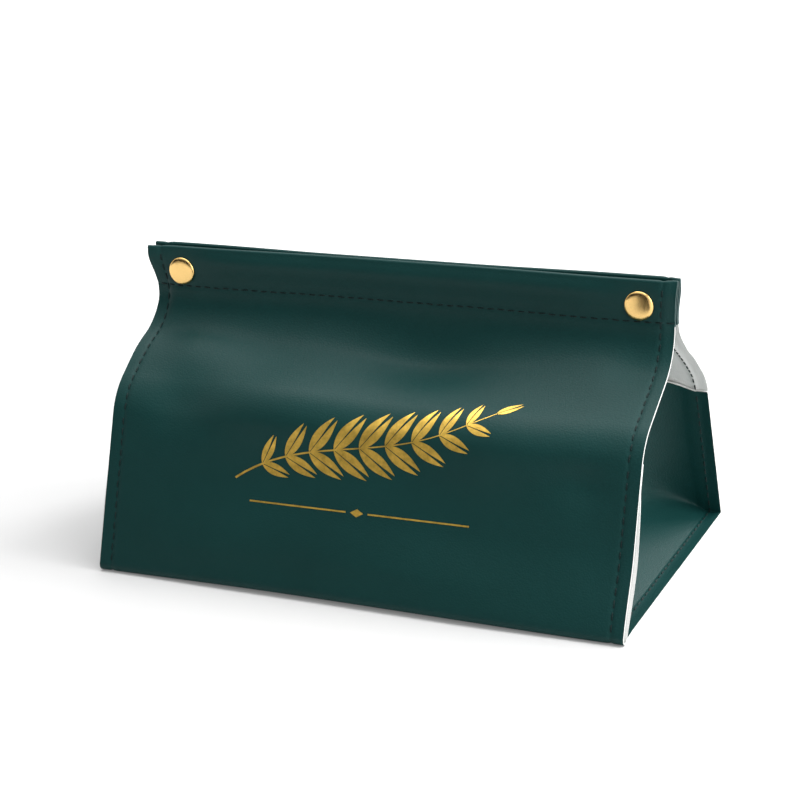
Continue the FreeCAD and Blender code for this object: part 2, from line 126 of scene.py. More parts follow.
class CoverColours(bpy.types.PropertyGroup):
    """Colours of the cover's finishes."""

    leather: bpy.props.FloatVectorProperty(
        name="Leather", description="Green coating", default=(0.0035, 0.038, 0.0358), subtype="COLOR")
    backing: bpy.props.FloatVectorProperty(
        name="Backing", description="Cloth under the coating", default=(0.80, 0.81, 0.79), subtype="COLOR")
    thread: bpy.props.FloatVectorProperty(
        name="Thread", description="Sewing thread", default=(0.003, 0.014, 0.014), subtype="COLOR")
    metal: bpy.props.FloatVectorProperty(
        name="Metal", description="Gold-coloured snaps", default=(0.87, 0.58, 0.22), subtype="COLOR")
    foil: bpy.props.FloatVectorProperty(
        name="Foil", description="Pressed foil", default=(0.92, 0.58, 0.10), subtype="COLOR")


def sizes():
    return bpy.context.scene.cover_sizes


def colours():
    return bpy.context.scene.cover_colours


def ramp(value, low, high):
    """A smooth step from 0 at low to 1 at high."""
    t = min(1.0, max(0.0, (value - low) / (high - low)))
    return t * t * (3 - 2 * t)


def hump(value, centre, width):
    return math.exp(-((value - centre) / width) ** 2)


class Section:
    """Half of the cover's cross-section: straight and round stretches from the middle of the bottom."""

    STEPS = {"floor": 3.2, "fold": 0.8, "wall": 1.6, "shoulder": 1.3, "slope": 1.5, "neck": 1.2,
             "hem": 0.9, "turn": 0.35, "inner": 1.5}

    def __init__(self):
        size = sizes()
        lean = size.wall_lean
        self.lean = lean
        self.corner = BEND.y + BEND.z * math.tan(lean)
        self.rise = size.bottom_fold * (1 + math.sin(lean))
        self.hem_start = TOP_Z - size.hem_turn
        first = BEND.yz - Vector((math.cos(lean), math.sin(lean))) * size.shoulder
        self.shoulder_up = first.y
        self.shoulder_radius = size.shoulder
        second = Vector((HEM_FACE + size.neck, self.hem_start))
        apart = second - first
        both = size.shoulder + size.neck
        slope = math.atan2(apart.y, apart.x) - math.acos(both / apart.length)
        hem = size.hem_turn - size.sheet
        stretches = [
            ("floor", self.corner - self.rise / math.cos(lean), 0),
            ("fold", size.bottom_fold * (math.pi / 2 + lean), math.pi / 2 + lean),
            ("wall", (BEND.z - self.rise) / math.cos(lean), 0),
            ("shoulder", size.shoulder * (slope - lean), slope - lean),
            ("slope", math.sqrt(apart.length ** 2 - both ** 2), 0),
            ("neck", size.neck * slope, -slope),
            ("hem", hem, 0),
            ("turn", size.sheet * math.pi, math.pi),
            ("inner", hem, 0),
        ]
        self.start = {}
        self.parts = []
        along, place, heading = 0.0, Vector((0, 0)), 0.0
        for name, length, turn in stretches:
            self.start[name] = along
            self.parts.append((name, along, length, turn, place, heading))
            place = place + self.stride(length, length, turn, heading)
            heading += turn
            along += length
        self.length = along
        self.hem_stitch = self.start["hem"] + HEM_LINE - self.hem_start
        self.inner_stitch = self.length - (HEM_LINE - self.hem_start)

    @staticmethod
    def stride(distance, length, turn, heading):
        """How far a walk along a stretch gets from the stretch's start."""
        if not turn:
            return Vector((math.cos(heading), math.sin(heading))) * distance
        later = heading + turn * distance / length
        chord = Vector((math.sin(later) - math.sin(heading), math.cos(heading) - math.cos(later)))
        return chord * length / turn

    def at(self, along):
        """Place and outward direction, each as out and up, at a length along the section."""
        _, start, length, turn, place, heading = next(
            part for part in reversed(self.parts) if along >= part[1] or part is self.parts[0])
        distance = along - start
        later = heading + turn * distance / length
        outward = Vector((math.sin(later), -math.cos(later)))
        return place + self.stride(distance, length, turn, heading), outward

    def rows(self):
        """Lengths along the section at which a panel has a row of points."""
        marks = [0.0]
        for name, start, length, *_ in self.parts:
            count = math.ceil(length / (self.STEPS[name] * MM))
            marks += [start + length * step / count for step in range(1, count + 1)]
        return marks

    def height(self, up):
        """Length along the section at which the lower wall, or the shoulder above it, reaches a height."""
        if up <= BEND.z:
            return self.start["wall"] + (up - self.rise) / math.cos(self.lean)
        angle = math.asin(min(1, (up - self.shoulder_up) / self.shoulder_radius))
        return self.start["shoulder"] + self.shoulder_radius * (angle - self.lean)


# Soft hollows and swellings of each panel: place along X, place above the bend line along the sheet,
# half width along X, half width along the sheet, and outward push, in millimetres
SWELLS = {
    FRONT: [
        (16, 44, 32, 17, -5.0),
        (-86, 9, 22, 13, -3.4),
        (-46, 12, 34, 17, 2.8),
        (64, 3, 34, 16, 2.8),
        (92, 48, 26, 16, 1.8),
        (102, -9, 20, 9, -2.2),
        (-92, 40, 22, 15, 1.6),
        (0, -44, 80, 15, 1.4),
        (-70, -26, 26, 18, -0.9),
    ],
    BACK: [
        (-20, 40, 36, 14, -3.0),
        (45, 8, 40, 16, 2.2),
        (-75, 6, 30, 16, 1.6),
        (80, 44, 28, 15, 1.4),
        (-104, -9, 17, 10, -1.4),
        (10, -42, 80, 16, 1.3),
    ],
}

# Swellings at the ends: face, end, place above the bend line, half width along the sheet, push
END_SWELLS = [
    (FRONT, -1, 34, 15, 2.0),
    (BACK, 1, 34, 14, 3.2),
    (BACK, 1, 52, 12, 4.0),
    (BACK, -1, 34, 15, 1.5),
]

# Soft shape of the panels: a fine ripple, stitch grooves, dimples under the caps, a puffed hem, flared ends
# and a foot that bows out, with the distances over which they fade
RIPPLE = 0.5 * MM
RIPPLE_WIDE = 0.05
RIPPLE_HIGH = 0.04
FOOT_HOLD = 14 * MM
SEAM_HOLD = 24 * MM
SWELL_END_FROM = 50 * MM
SEAM_GROOVE = 0.32 * MM
STITCH_GROOVE = 0.30 * MM
GROOVE_WIDTH = 0.9 * MM
CAP_DIMPLE = 0.25 * MM
DIMPLE_RADIUS = 7.5 * MM
CAP_HOLD = 14 * MM
CAP_HOLD_SHARE = 0.75
HEM_PUFF = 1.5 * MM
HEM_CLOSES = 1.6 * MM
HEM_CLOSES_OVER = (30 * MM, 96 * MM)
RIGHT_END_CLOSES = 1.4 * MM
LEFT_END_OPENS = 0.5 * MM
PAST_SNAP = 8 * MM
TOP_FLARE = 1.1 * MM
NECK_PINCH = 1.0 * MM
END_TWIST = 2.2 * MM
CORNER_FLARE = 4.0 * MM
FOOT_BOW = 1.6 * MM
FOOT_LIFT = 1.0 * MM
FOOT_HEIGHT = (3 * MM, 34 * MM)
FOOT_OUT = (20 * MM, 64 * MM)
FOOT_MIDDLE = 40 * MM
CORNER_FROM = -60 * MM
FLARE_FROM_X = 96 * MM
FLARE_FROM_Z = 112 * MM
PINCH_Z = 107 * MM
PINCH_HALF = 10 * MM
TWIST_FROM_X = 109 * MM
TWIST_Z = 108 * MM
TWIST_HALF = 12 * MM
TWIST_BACK_Z = 118 * MM
TWIST_BACK_SHARE = 0.7


def hem_body(section, along):
    """1 where a hem's outer face is fullest, near its rolled top, 0 at its stitch line and its top edge."""
    share = (along - section.hem_stitch) / (section.start["turn"] - section.hem_stitch)
    return math.sin(math.pi * share ** 1.7) ** 1.3 if 0 < share < 1 else 0


def swelling(section, face, x, along):
    """Outward push of a soft panel at a place on it."""
    start = section.start
    bend = start["shoulder"]
    above_foot = ramp(along, start["wall"], start["wall"] + FOOT_HOLD)
    below_hem = 1 - ramp(along, start["neck"], start["hem"])
    inside = ramp(SEAM_X - abs(x), 0, SEAM_HOLD)
    push = RIPPLE * noise.noise(Vector((x / RIPPLE_WIDE, along / RIPPLE_HIGH, 3.1 * face)))
    for centre, above, wide, tall, depth in SWELLS[face]:
        row = hump(along, bend + above * MM, tall * MM)
        push += depth * MM * hump(x, centre * MM, wide * MM) * row
    push *= above_foot * below_hem * inside
    for swollen, end, above, tall, depth in END_SWELLS:
        if swollen == face:
            row = hump(along, bend + above * MM, tall * MM)
            push += depth * MM * ramp(end * x, SWELL_END_FROM, END_X) * row
    held = 1 - CAP_HOLD_SHARE * hump(abs(x), SNAP.x, CAP_HOLD)
    push += HEM_PUFF * hem_body(section, along) * held
    grooves = [SEAM_GROOVE * hump(abs(x), SEAM_X, GROOVE_WIDTH)]
    grooves += [STITCH_GROOVE * hump(along, line, GROOVE_WIDTH)
                for line in (section.hem_stitch, section.inner_stitch)]
    push -= max(grooves)
    if start["hem"] < along < start["turn"]:
        up = section.at(along)[0].y
        away = math.hypot(abs(x) - SNAP.x, up - SNAP.z)
        push -= CAP_DIMPLE * math.exp(-(away / DIMPLE_RADIUS) ** 6)
    return push


def hem_shift(section, x, along):
    """How far the limp hem moves away from the other hem between and beyond the snaps."""
    held = ramp(along, section.start["neck"], section.start["hem"])
    between = HEM_CLOSES * (1 - ramp(abs(x), *HEM_CLOSES_OVER))
    beyond = RIGHT_END_CLOSES * ramp(x, SNAP.x + PAST_SNAP, END_X)
    flare = LEFT_END_OPENS * ramp(-x, SNAP.x + PAST_SNAP, END_X)
    return held * (flare - between - beyond)


def limp_shift(face, x, out, up):
    """How a limp panel moves: flared top corners, a pinched neck, and a foot that bows out and lifts."""
    at_end = ramp(abs(x), FLARE_FROM_X, END_X)
    along_x = math.copysign(TOP_FLARE * at_end * ramp(up, FLARE_FROM_Z, TOP_Z), x)
    foot = (1 - ramp(up, *FOOT_HEIGHT)) * ramp(out, *FOOT_OUT)
    between = 1 - ramp(abs(x), FOOT_MIDDLE, SEAM_X)
    along_y = face * FOOT_BOW * foot * between
    along_z = FOOT_LIFT * foot * between
    if x < 0:
        along_x += NECK_PINCH * at_end * hump(up, PINCH_Z, PINCH_HALF)
        curl = ramp(-x, TWIST_FROM_X, END_X)
        back = TWIST_BACK_SHARE * ramp(up, TWIST_BACK_Z, TOP_Z)
        along_y += END_TWIST * curl * (hump(up, TWIST_Z, TWIST_HALF) - back)
    if face == FRONT:
        along_y -= CORNER_FLARE * foot * ramp(x, CORNER_FROM, END_X)
    return Vector((along_x, along_y, along_z))


def on_panel(section, face, x, along, depth=0.0):
    """A point of the front or back panel, at a depth under its outer face."""
    place, outward = section.at(along)
    shift = limp_shift(face, x, place.x, place.y)
    place = place + outward * (swelling(section, face, x, along) - depth)
    return Vector((x, face * (place.x + hem_shift(section, x, along)), place.y)) + shift


# Modelling helpers

def deselect():
    if bpy.context.object and bpy.context.object.mode != "OBJECT":
        bpy.ops.object.mode_set(mode="OBJECT")
    bpy.ops.object.select_all(action="DESELECT")


def edit(piece, *steps):
    """Run edit-mode steps on the whole of a piece."""
    deselect()
    piece.select_set(True)
    bpy.context.view_layer.objects.active = piece
    bpy.ops.object.mode_set(mode="EDIT")
    bpy.ops.mesh.select_all(action="SELECT")
    for step in steps:
        step()
    bpy.ops.object.mode_set(mode="OBJECT")


MERGE_WITHIN = 0.004 * MM
SOFT_BEND = 22 * MM


def merge():
    bpy.ops.mesh.remove_doubles(threshold=MERGE_WITHIN)


def outward():
    bpy.ops.mesh.normals_make_consistent(inside=False)


def apply_modifier(piece, kind, **settings):
    deselect()
    piece.select_set(True)
    bpy.context.view_layer.objects.active = piece
    modifier = piece.modifiers.new(kind.title(), kind)
    for name, setting in settings.items():
        setattr(modifier, name, setting)
    bpy.ops.object.modifier_apply(modifier=modifier.name)


def smooth(piece, degrees=40):
    deselect()
    piece.select_set(True)
    bpy.context.view_layer.objects.active = piece
    bpy.ops.object.shade_smooth_by_angle(angle=math.radians(degrees))


def grid_piece(name, columns, rows, place, flat):
    """A grid whose points are placed by a rule, with the flat cut as its UV map."""
    deselect()
    bpy.ops.mesh.primitive_grid_add(x_subdivisions=columns - 1, y_subdivisions=rows - 1, size=2)
    piece = bpy.context.object
    piece.name = name
    piece.data.name = name
    cells = [(round((v.co.x + 1) / 2 * (columns - 1)), round((v.co.y + 1) / 2 * (rows - 1)))
             for v in piece.data.vertices]
    for vertex, (column, row) in zip(piece.data.vertices, cells):
        vertex.co = place(column, row)
    cut = piece.data.uv_layers.active.data
    for loop in piece.data.loops:
        cut[loop.index].uv = flat(*cells[loop.vertex_index])
    return piece


def thicken(piece, thickness):
    """Give a sheet its thickness inwards, with cloth on its inner side and its raw edges."""
    apply_modifier(piece, "SOLIDIFY", thickness=thickness, offset=-1, use_even_offset=False,
                   material_offset=1, material_offset_rim=1)


def copies(name, template, rules):
    """One mesh of many copies of a template, each placed by its own rule."""
    points, faces = [], []
    for rule in rules:
        first = len(points)
        points += [rule(*vertex.co) for vertex in template.data.vertices]
        faces += [[first + index for index in polygon.vertices] for polygon in template.data.polygons]
    mesh = bpy.data.meshes.new(name)
    mesh.from_pydata(points, [], faces)
    piece = bpy.data.objects.new(name, mesh)
    bpy.context.scene.collection.objects.link(piece)
    return piece


def dress(piece, slot, *materials):
    """Give a piece its materials; the slot argument is not used."""
    piece.data.materials.clear()
    for material in materials:
        piece.data.materials.append(material)


def bend_with(piece, section):
    """Bake a piece's placement into its mesh."""
    end = section.at(section.start["shoulder"] + SOFT_BEND)[0]
    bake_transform(piece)


# Materials

def new_material(name):
    material = bpy.data.materials.get(name)
    if material:
        return material, None, None
    material = bpy.data.materials.new(name)
    material.use_nodes = True
    tree = material.node_tree
    return material, tree, tree.nodes["Principled BSDF"]


def add(tree, kind, **inputs):
    """Add a node, with the values of some of its sockets."""
    made = tree.nodes.new(kind)
    for socket, value in inputs.items():
        made.inputs[socket.replace("_", " ")].default_value = value
    return made


def mix_colours(tree, share, low, high):
    made = add(tree, "ShaderNodeMix")
    made.data_type = "RGBA"
    made.inputs["A"].default_value = (*low, 1)
    made.inputs["B"].default_value = (*high, 1)
    tree.links.new(share, made.inputs["Factor"])
    return made.outputs["Result"]


def spread(tree, value, low, high):
    """A 0 to 1 value spread over a range."""
    made = add(tree, "ShaderNodeMapRange", To_Min=low, To_Max=high)
    tree.links.new(value, made.inputs["Value"])
    return made.outputs["Result"]


def bump(tree, shader, height, distance, strength=1.0):
    made = add(tree, "ShaderNodeBump", Distance=distance, Strength=strength)
    tree.links.new(height, made.inputs["Height"])
    tree.links.new(made.outputs["Normal"], shader.inputs["Normal"])


def maths(tree, operation, first, second):
    made = add(tree, "ShaderNodeMath")
    made.operation = operation
    for socket, value in zip(made.inputs, (first, second)):
        if isinstance(value, (int, float)):
            socket.default_value = value
        else:
            tree.links.new(value, socket)
    return made.outputs["Value"]


def leather_material():
    """Fine pebbled coating with a soft sheen, a little uneven in colour."""
    material, tree, shader = new_material("pebbled_leather")
    if tree is None:
        return material
    where = add(tree, "ShaderNodeTexCoord").outputs["Object"]
    pebbles = add(tree, "ShaderNodeTexVoronoi", Scale=1 / sizes().grain, Randomness=1.0)
    pebbles.feature = "SMOOTH_F1"
    pores = add(tree, "ShaderNodeTexNoise", Scale=3200.0, Detail=2.0)
    clouds = add(tree, "ShaderNodeTexNoise", Scale=28.0, Detail=3.0)
    for texture in (pebbles, pores, clouds):
        tree.links.new(where, texture.inputs["Vector"])
    green = colours().leather
    shade = mix_colours(tree, clouds.outputs["Fac"], [0.86 * part for part in green],
                        [1.14 * part for part in green])
    tree.links.new(shade, shader.inputs["Base Color"])
    tree.links.new(spread(tree, pores.outputs["Fac"], 0.40, 0.54), shader.inputs["Roughness"])
    grain = maths(tree, "ADD", maths(tree, "MULTIPLY", pebbles.outputs["Distance"], -1.0),
                  maths(tree, "MULTIPLY", pores.outputs["Fac"], 0.35))
    bump(tree, shader, grain, 0.09 * MM, 0.8)
    shader.inputs["Specular IOR Level"].default_value = 0.18
    return material


def backing_material():
    """Off-white cloth with a fine close weave."""
    material, tree, shader = new_material("woven_backing")
    if tree is None:
        return material
    where = add(tree, "ShaderNodeTexCoord").outputs["UV"]
    threads = []
    for direction in ("X", "Y"):
        wave = add(tree, "ShaderNodeTexWave", Scale=330.0, Distortion=1.2, Detail=1.0)
        wave.bands_direction = direction
        tree.links.new(where, wave.inputs["Vector"])
        threads.append(wave.outputs["Fac"])
    weave = maths(tree, "MULTIPLY", *threads)
    clouds = add(tree, "ShaderNodeTexNoise", Scale=60.0, Detail=4.0)
    tree.links.new(where, clouds.inputs["Vector"])
    white = colours().backing
    tone = maths(tree, "ADD", maths(tree, "MULTIPLY", weave, 0.35),
                 maths(tree, "MULTIPLY", clouds.outputs["Fac"], 0.6))
    shade = mix_colours(tree, tone, [0.90 * part for part in white], white)
    tree.links.new(shade, shader.inputs["Base Color"])
    shader.inputs["Roughness"].default_value = 0.9
    shader.inputs["Specular IOR Level"].default_value = 0.2
    bump(tree, shader, weave, 0.06 * MM, 0.5)
    return material


def thread_material():
    """Twisted dark green sewing thread."""
    material, tree, shader = new_material("twisted_thread")
    if tree is None:
        return material
    where = add(tree, "ShaderNodeTexCoord").outputs["Object"]
    turned = add(tree, "ShaderNodeMapping", Rotation=(0.6, 0.7, 0.5))
    tree.links.new(where, turned.inputs["Vector"])
    twist = add(tree, "ShaderNodeTexWave", Scale=480.0, Distortion=0.6)
    tree.links.new(turned.outputs["Vector"], twist.inputs["Vector"])
    dark = colours().thread
    shade = mix_colours(tree, twist.outputs["Fac"], [0.6 * part for part in dark],
                        [1.5 * part for part in dark])
    tree.links.new(shade, shader.inputs["Base Color"])
    shader.inputs["Roughness"].default_value = 0.55
    shader.inputs["Specular IOR Level"].default_value = 0.16
    bump(tree, shader, twist.outputs["Fac"], 0.05 * MM, 0.6)
    return material


def metal_material():
    """Polished gold-coloured metal with fine handling marks."""
    material, tree, shader = new_material("polished_gold")
    if tree is None:
        return material
    where = add(tree, "ShaderNodeTexCoord").outputs["Object"]
    marks = add(tree, "ShaderNodeTexNoise", Scale=900.0, Detail=5.0)
    stretched = add(tree, "ShaderNodeMapping", Scale=(1.0, 1.0, 0.15), Rotation=(0, 0.5, 0))
    tree.links.new(where, stretched.inputs["Vector"])
    tree.links.new(stretched.outputs["Vector"], marks.inputs["Vector"])
    clouds = add(tree, "ShaderNodeTexNoise", Scale=160.0, Detail=2.0)
    tree.links.new(where, clouds.inputs["Vector"])
    gold = colours().metal
    shade = mix_colours(tree, clouds.outputs["Fac"], [0.9 * part for part in gold], gold)
    tree.links.new(shade, shader.inputs["Base Color"])
    tree.links.new(spread(tree, marks.outputs["Fac"], 0.16, 0.30), shader.inputs["Roughness"])
    shader.inputs["Metallic"].default_value = 1.0
    bump(tree, shader, marks.outputs["Fac"], 0.01 * MM, 0.25)
    return material


def foil_material():
    """Pressed gold foil that takes the leather's grain and is a little worn."""
    material, tree, shader = new_material("gold_foil")
    if tree is None:
        return material
    where = add(tree, "ShaderNodeTexCoord").outputs["Object"]
    clouds = add(tree, "ShaderNodeTexNoise", Scale=190.0, Detail=6.0, Roughness=0.7)
    pebbles = add(tree, "ShaderNodeTexVoronoi", Scale=1 / sizes().grain)
    for texture in (clouds, pebbles):
        tree.links.new(where, texture.inputs["Vector"])
    gold = colours().foil
    wear = spread(tree, clouds.outputs["Fac"], -0.6, 1.6)
    shade = mix_colours(tree, wear, [0.45 * part for part in gold], [min(1, 1.12 * part) for part in gold])
    tree.links.new(shade, shader.inputs["Base Color"])
    tree.links.new(spread(tree, clouds.outputs["Fac"], 0.42, 0.30), shader.inputs["Roughness"])
    shader.inputs["Metallic"].default_value = 0.65
    bump(tree, shader, pebbles.outputs["Distance"], 0.05 * MM, 0.35)
    return material


# Pieces

PAINTED_EDGE = 1.2 * MM


def column_marks():
    """Places along X of a panel's columns, close together at the end seams."""
    edge = [0, 0.5, 1.4, 2.6, 3.8, 4.6, 5.1, 5.5, 5.9, 6.4, 7.2, 8.4]
    inner = END_X - edge[-1] * MM
    count = round(2 * inner / (2.2 * MM))
    between = [inner * (2 * step / count - 1) for step in range(1, count)]
    return [mark * MM - END_X for mark in edge] + between + [END_X - mark * MM for mark in reversed(edge)]


class COVER_OT_panels(bpy.types.Operator):
    """Build the front and back panels, each from the middle of the bottom to its turned hem"""

    bl_idname = "cover.panels"
    bl_label = "Panels"

    def execute(self, context):
        section = Section()
        rows = section.rows()
        for face, name in FACES.items():
            columns = column_marks()
            if face == BACK:
                columns.reverse()
            piece = grid_piece(
                f"{name}_panel", len(columns), len(rows),
                lambda column, row: on_panel(section, face, columns[column], rows[row]),
                lambda column, row: (columns[column], rows[row]))
            dress(piece, "green_leather", leather_material(), backing_material())
            thicken(piece, sizes().sheet)
            for polygon in piece.data.polygons:
                if polygon.center.z > section.hem_start and abs(polygon.center.x) > END_X - PAINTED_EDGE:
                    polygon.material_index = 0
            smooth(piece)
            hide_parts(f"{name}_flap_skin", f"{name}_flap_backing", "wrap_skin", "wrap_backing")
            bend_with(piece, section)
        return {"FINISHED"}


# Folded ends: their flat cut, how they leave the floor, how square they turn in, how their top edges rise
# and how far their front lips stick out
LEAN_IN = math.tan(math.radians(65))
SQUARENESS = 2.2
CREASE = 4.0
FLOOR_PEAK = 17 * MM
MIDDLE_TOP = 62 * MM
EDGE_LIFT = {-1: 2.5 * MM, 1: 7.0 * MM}
EDGE_LIFT_DEPTH = 18 * MM
EDGE_LIFT_FADES = (0.05, 0.6)
EDGE_PULL = 0.45
LIP_OVERHANG = 1.2 * MM
LIP_SPLAY = 0.9 * MM
LIP_FOOT = 10 * MM
BACK_OPENING = 0.15
LIP_STEPS = [0, 0.12, 0.3, 0.5, 0.7, 0.87, 1]
WEB_ROWS = 30
WEB_CROWDING = 3.0
CLEARANCE = 0.05 * MM
WEB_GAP = 0.8 * MM
WEB_GAP_SHARE = 0.1


def lip_depth():
    return 2 * sizes().sheet + CLEARANCE


def lip_opening(section, face, along):
    """How much the front lip stands off the panel, from 0 at its ends to 1."""
    if face == BACK:
        return BACK_OPENING
    foot = section.start["fold"]
    share = (along - foot + LIP_FOOT) / (section.start["shoulder"] - foot)
    return math.sin(math.pi * min(1, max(0, share))) ** 0.8


def on_lip(section, face, end, x_share, along, lift=0.0, across=0.0):
    """A point of a gusset's lip, from its raw edge at share 0 to the seam at share 1."""
    opening = lip_opening(section, face, along)
    edge = END_X + LIP_OVERHANG * opening
    x = edge + (SEAM_X - edge) * x_share + across
    splay = LIP_SPLAY * opening * (1 - x_share) ** 2
    return on_panel(section, face, end * x, along, lip_depth() + splay + lift)


def half_width(section, up):
    """Half the width between the lips at a height."""
    depth = lip_depth()
    if up >= section.rise:
        return section.corner - depth / math.cos(section.lean) - up * math.tan(section.lean)
    fold = sizes().bottom_fold
    inner = fold - depth
    return section.start["fold"] + math.sqrt(max(0, inner ** 2 - (fold - up) ** 2))


def tuck_depth(section, y, up):
    """How far the folded end lies inside its seam."""
    floor = LEAN_IN * (up - lip_depth())
    from_wall = max(0, 1 - abs(y) / half_width(section, up))
    wall = sizes().tuck * (1 - (1 - from_wall) ** SQUARENESS) ** (1 / SQUARENESS)
    if floor <= 0 or wall <= 0:
        return 0
    return floor * wall / (floor ** CREASE + wall ** CREASE) ** (1 / CREASE)


def inside_wall(section, face, x, up, depth):
    """Place along Y of a panel's inner side at a height, at a depth under its outer face."""
    along = section.height(up)
    for _ in range(4):
        spot = on_panel(section, face, x, along, depth)
        along += up - spot.z
    return spot.y


def on_web(section, face, end, inwards, along):
    """A point of a gusset inside its seam, from the seam at 0 to its middle at 1."""
    rim = on_panel(section, face, end * SEAM_X, along, lip_depth())
    top = section.height(SEAM_TOP)
    share = min(1, max(0, (along - section.start["wall"]) / (top - section.start["wall"])))
    centre = FLOOR_PEAK + share * (MIDDLE_TOP - FLOOR_PEAK)
    y = rim.y * (1 - inwards)
    up = rim.z + (centre - rim.z) * inwards
    depth = tuck_depth(section, y, up)
    fade = 1 - ramp(inwards, *EDGE_LIFT_FADES)
    lift = EDGE_LIFT[end] * share ** 3 * min(1, depth / EDGE_LIFT_DEPTH) * fade
    x = rim.x - end * depth
    spare = min(WEB_GAP, WEB_GAP_SHARE * depth)
    wall = inside_wall(section, face, x, up + lift, lip_depth() + spare)
    return Vector((x, face * min(face * y - EDGE_PULL * lift, face * wall), up + lift))


class COVER_OT_gussets(bpy.types.Operator):
    """Build the two folded ends"""

    bl_idname = "cover.gussets"
    bl_label = "Folded ends"

    def execute(self, context):
        section = Section()
        top = section.height(SEAM_TOP)
        walk = [mark for mark in section.rows() if mark < top - MM] + [top]
        seam = [(FRONT, mark) for mark in reversed(walk)] + [(BACK, mark) for mark in walk[1:]]
        rows = [(on_lip, share) for share in LIP_STEPS]
        rows += [(on_web, (step / WEB_ROWS) ** WEB_CROWDING) for step in range(1, WEB_ROWS + 1)]
        for end, name in ENDS.items():
            order = seam if end > 0 else seam[::-1]

            def place(column, row):
                face, along = order[column]
                rule, share = rows[row]
                return rule(section, face, end, share, along)

            def flat(column, row):
                face, along = order[column]
                return face * along, row * 2 * MM

            piece = grid_piece(f"{name}_gusset", len(order), len(rows), place, flat)
            edit(piece, merge)
            dress(piece, "green_leather", leather_material(), backing_material())
            thicken(piece, sizes().sheet)
            smooth(piece)
            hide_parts(f"{name}_gusset_skin", f"{name}_gusset_backing")
            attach(piece, "base")
        return {"FINISHED"}


# Stitches: share of the pitch that shows, and places of the rings along one stitch with their size and rise
STITCH_SHARE = 0.74
STITCH_SHAPE = [
    (0, 0.4, -0.30), (0.1, 0.8, 0.02), (0.33, 1, 0.16), (0.67, 1, 0.16), (0.9, 0.8, 0.02), (1, 0.4, -0.30),
]
THREAD_SIDES = 6
WANDER = 0.22 * MM
LIP_ROW = 0.9
BEND_GAP = MM


def stitch_template():
    """One stitch from hole to hole: X runs along it, Y across it and Z up."""
    deselect()
    bpy.ops.mesh.primitive_cylinder_add(vertices=THREAD_SIDES, radius=1, depth=1, location=(0.5, 0, 0),
                                        rotation=(0, math.pi / 2, 0))
    template = bpy.context.object
    bpy.ops.object.transform_apply(location=True, rotation=True, scale=True)
    cuts = [lambda at=at: (bpy.ops.mesh.select_all(action="SELECT"),
                           bpy.ops.mesh.bisect(plane_co=(at, 0, 0), plane_no=(1, 0, 0)))
            for at, *_ in STITCH_SHAPE[1:-1]]
    edit(template, *cuts)
    half = sizes().thread / 2
    for vertex in template.data.vertices:
        along, girth, rise = min(STITCH_SHAPE, key=lambda ring: abs(ring[0] - vertex.co.x))
        vertex.co = (along, vertex.co.y * girth * half, vertex.co.z * girth * half + rise * MM)
    return template


def pitched(start, end, pitch):
    """Starts and lengths of the stitches of a row."""
    count = max(1, round((end - start) / pitch))
    step = (end - start) / count
    return [(start + index * step + step * (1 - STITCH_SHARE) / 2, step * STITCH_SHARE)
            for index in range(count)]


def wander(start, along, row):
    """How far a stitch strays to the side of its row: a different shift and slant for each."""
    shift = noise.noise(Vector((start * 700, row, 0.5)))
    slant = noise.noise(Vector((start * 900, row, 7.5)))
    return WANDER * (shift + (2 * along - 1) * slant)


def seam_rules(section, face, end, low, high, inside=False):
    """Rules for stitches that climb a panel's end seam."""
    def rule(start, length):
        def lay(along, across, up):
            depth = sizes().sheet + up if inside else -up
            x = end * SEAM_X + across + wander(start, along, end + 3 * face)
            return on_panel(section, face, x, start + along * length, depth)
        return lay
    return [rule(start, length) for start, length in pitched(low, high, sizes().stitch)]


def hem_rules(section, face, at):
    """Rules for stitches along a hem."""
    def rule(start, length):
        def lay(along, across, up):
            row = at + across + wander(start, along, face)
            return on_panel(section, face, start + along * length, row, -up)
        return lay
    return [rule(start, length) for start, length in pitched(-END_X + MM, END_X + 0.6 * MM, sizes().stitch)]


def lip_rules(section, end):
    """Rules for stitches round the inside of a gusset's lip."""
    top = section.height(SEAM_TOP) - 2 * MM

    def rule(start, length):
        def lay(along, across, up):
            walk = start + along * length
            face = FRONT if walk < 0 else BACK
            return on_lip(section, face, end, LIP_ROW, abs(walk), up, across)
        return lay
    return [rule(start, length) for start, length in pitched(-top, top, sizes().stitch)]


class COVER_OT_stitches(bpy.types.Operator):
    """Sew the hems and the end seams"""

    bl_idname = "cover.stitches"
    bl_label = "Stitches"

    def execute(self, context):
        section = Section()
        template = stitch_template()
        bend = section.start["shoulder"]
        made = []
        for face, panel in FACES.items():
            hem = copies(f"{panel}_hem_stitches", template, hem_rules(section, face, section.hem_stitch)
                         + hem_rules(section, face, section.inner_stitch))
            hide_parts(f"{panel}_hem_thread")
            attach(hem, f"{panel}_flap")
            made.append(hem)
            for end, name in ENDS.items():
                low = bend + BEND_GAP
                rules = seam_rules(section, face, end, low, section.start["turn"] - 2 * MM)
                rules += seam_rules(section, face, end, low, section.start["hem"] - MM, inside=True)
                edge = copies(f"{panel}_{name}_edge_stitches", template, rules)
                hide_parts(f"{panel}_{name}_edge_thread")
                bend_with(edge, section)
                made.append(edge)
        for end, name in ENDS.items():
            rules = lip_rules(section, end)
            for face in FACES:
                rules += seam_rules(section, face, end, section.start["wall"] + MM, bend - BEND_GAP)
            seam = copies(f"{name}_seam_stitches", template, rules)
            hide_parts(f"{name}_gusset_thread")
            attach(seam, "base")
            made.append(seam)
        for piece in made:
            edit(piece, outward)
            dress(piece, "green_thread", thread_material())
            smooth(piece, 60)
        bpy.data.objects.remove(template)
        return {"FINISHED"}


